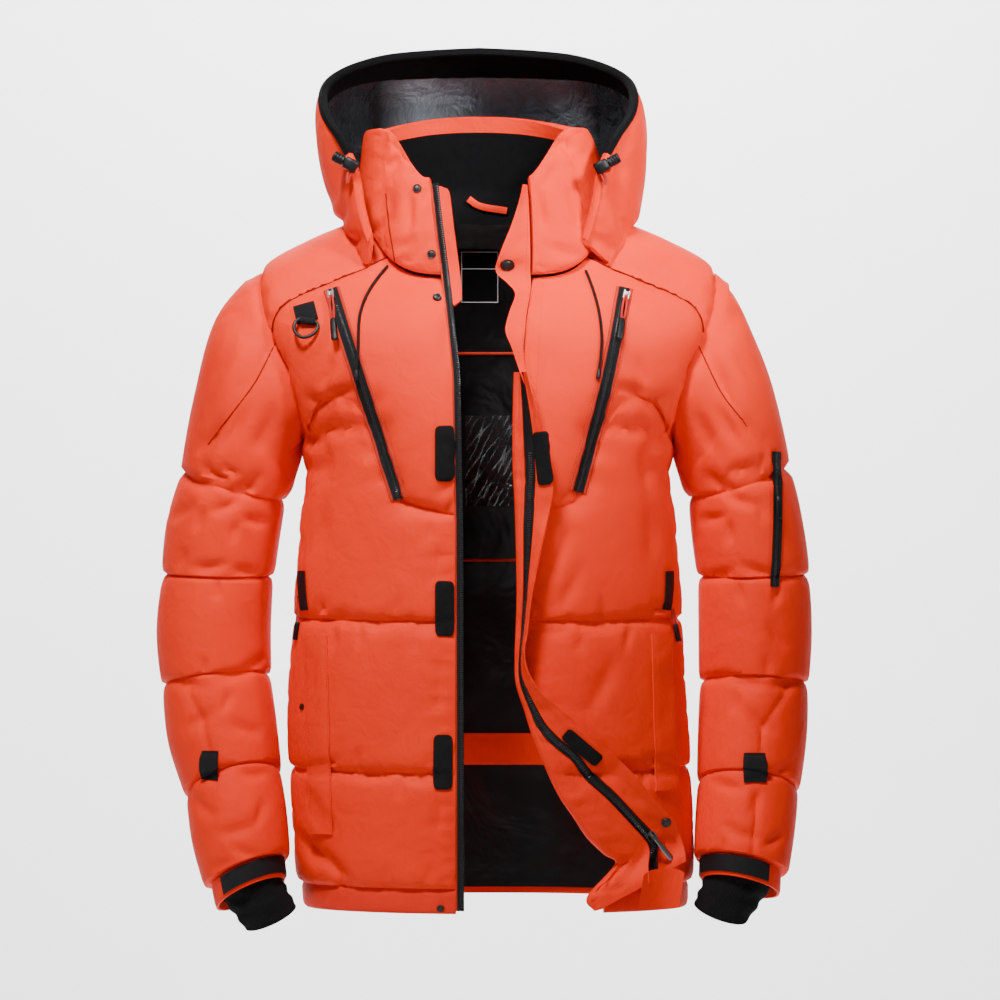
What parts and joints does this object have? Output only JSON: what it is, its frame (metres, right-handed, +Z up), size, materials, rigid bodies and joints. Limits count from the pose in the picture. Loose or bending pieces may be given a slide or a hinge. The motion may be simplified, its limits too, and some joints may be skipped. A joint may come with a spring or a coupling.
{
  "type": "hooded padded jacket",
  "caption": "Orange hooded padded jacket, worn open with no wearer, with quilted shell, stand collar, turned front edge, zips with hinged pulls and knit cuffs.",
  "frame": {"origin": "on the wearer's axis at the height of the shoulders, where the wearer carries the jacket", "axes": "+Z up, -Y the way the jacket faces, +X the wearer's left"},
  "size_m": [0.69, 0.359, 0.927],
  "materials": {
    "shell": "satin",
    "trim": "matte",
    "satin": "satin",
    "knit": "matte",
    "film": "gloss",
    "metal": "satin",
    "rubber": "matte"
  },
  "bodies": {
    "garment": {"arm_zip": "trim", "back_panel": "shell", "chest_zip_left": "trim", "chest_zip_right": "trim", "clear_pocket": "film", "collar_back": "shell", "collar_left": "shell", "collar_right": "shell", "cuff_band_left": "trim", "cuff_band_right": "trim", "drawcord_left": "trim", "drawcord_right": "trim", "facing_left": "shell", "flap_top": "shell", "front_left": "shell", "front_right": "shell", "guard_right": "shell", "hem_back": "shell", "hem_left": "shell", "hem_right": "shell", "hood_crown": "shell", "hood_facing": "trim", "hood_left": "shell", "hood_right": "shell", "knit_cuff_left": "knit", "knit_cuff_right": "knit", "lining_back": "satin", "lining_collar": "trim", "lining_hood": "satin", "lock_left": "rubber", "lock_right": "rubber", "patch_right_1": "trim", "patch_right_2": "trim", "patch_right_3": "trim", "ring_webbing": "trim", "size_label": "trim", "sleeve_left_lower": "shell", "sleeve_left_upper": "shell", "sleeve_right_lower": "shell", "sleeve_right_upper": "shell", "slider_chest_left": "metal", "slider_chest_right": "metal", "slider_main": "metal", "slider_pocket_left": "metal", "slider_pocket_right": "metal", "storm_flap": "shell", "waist_band": "shell", "welt_left": "shell", "welt_right": "shell", "yoke_left": "shell", "yoke_right": "shell", "zip_tape_left": "trim", "zip_tape_right": "trim"},
    "d_ring_body": {"d_ring": "metal"},
    "pull_arm_body": {"pull_arm": "rubber"},
    "pull_chest_left_body": {"pull_chest_left": "rubber"},
    "pull_chest_right_body": {"pull_chest_right": "rubber"},
    "pull_main_body": {"pull_main": "metal"},
    "pull_pocket_left_body": {"pull_pocket_left": "rubber"},
    "pull_pocket_right_body": {"pull_pocket_right": "rubber"}
  },
  "joints": [
    {"name": "d_ring_hinge", "type": "hinge", "parent": "garment", "child": "d_ring_body", "pos_m": [-0.18492, -0.10792, -0.09428], "axis": [-0.9465, 0.2686, 0.1787], "range_deg": [0, 110]},
    {"name": "pull_arm_hinge", "type": "hinge", "parent": "garment", "child": "pull_arm_body", "pos_m": [0.30094, -0.06555, -0.27585], "axis": [-0.7019, -0.7121, -0.016], "range_deg": [0, 100]},
    {"name": "pull_chest_left_hinge", "type": "hinge", "parent": "garment", "child": "pull_chest_left_body", "pos_m": [0.14235, -0.1042, -0.06721], "axis": [-0.9491, -0.1604, 0.2712], "range_deg": [0, 100]},
    {"name": "pull_chest_right_hinge", "type": "hinge", "parent": "garment", "child": "pull_chest_right_body", "pos_m": [-0.16147, -0.10004, -0.06611], "axis": [-0.9523, 0.1961, -0.2339], "range_deg": [0, 100]},
    {"name": "pull_main_hinge", "type": "hinge", "parent": "garment", "child": "pull_main_body", "pos_m": [0.16927, -0.12517, -0.62205], "axis": [-0.541, -0.4457, -0.7132], "range_deg": [0, 100]},
    {"name": "pull_pocket_left_hinge", "type": "hinge", "parent": "garment", "child": "pull_pocket_left_body", "pos_m": [0.18937, -0.06671, -0.38418], "axis": [-0.4289, -0.9033, -0.0102], "range_deg": [0, 100]},
    {"name": "pull_pocket_right_hinge", "type": "hinge", "parent": "garment", "child": "pull_pocket_right_body", "pos_m": [-0.19535, -0.05455, -0.38218], "axis": [-0.4328, 0.9015, 0.0052], "range_deg": [0, 100]}
  ]
}
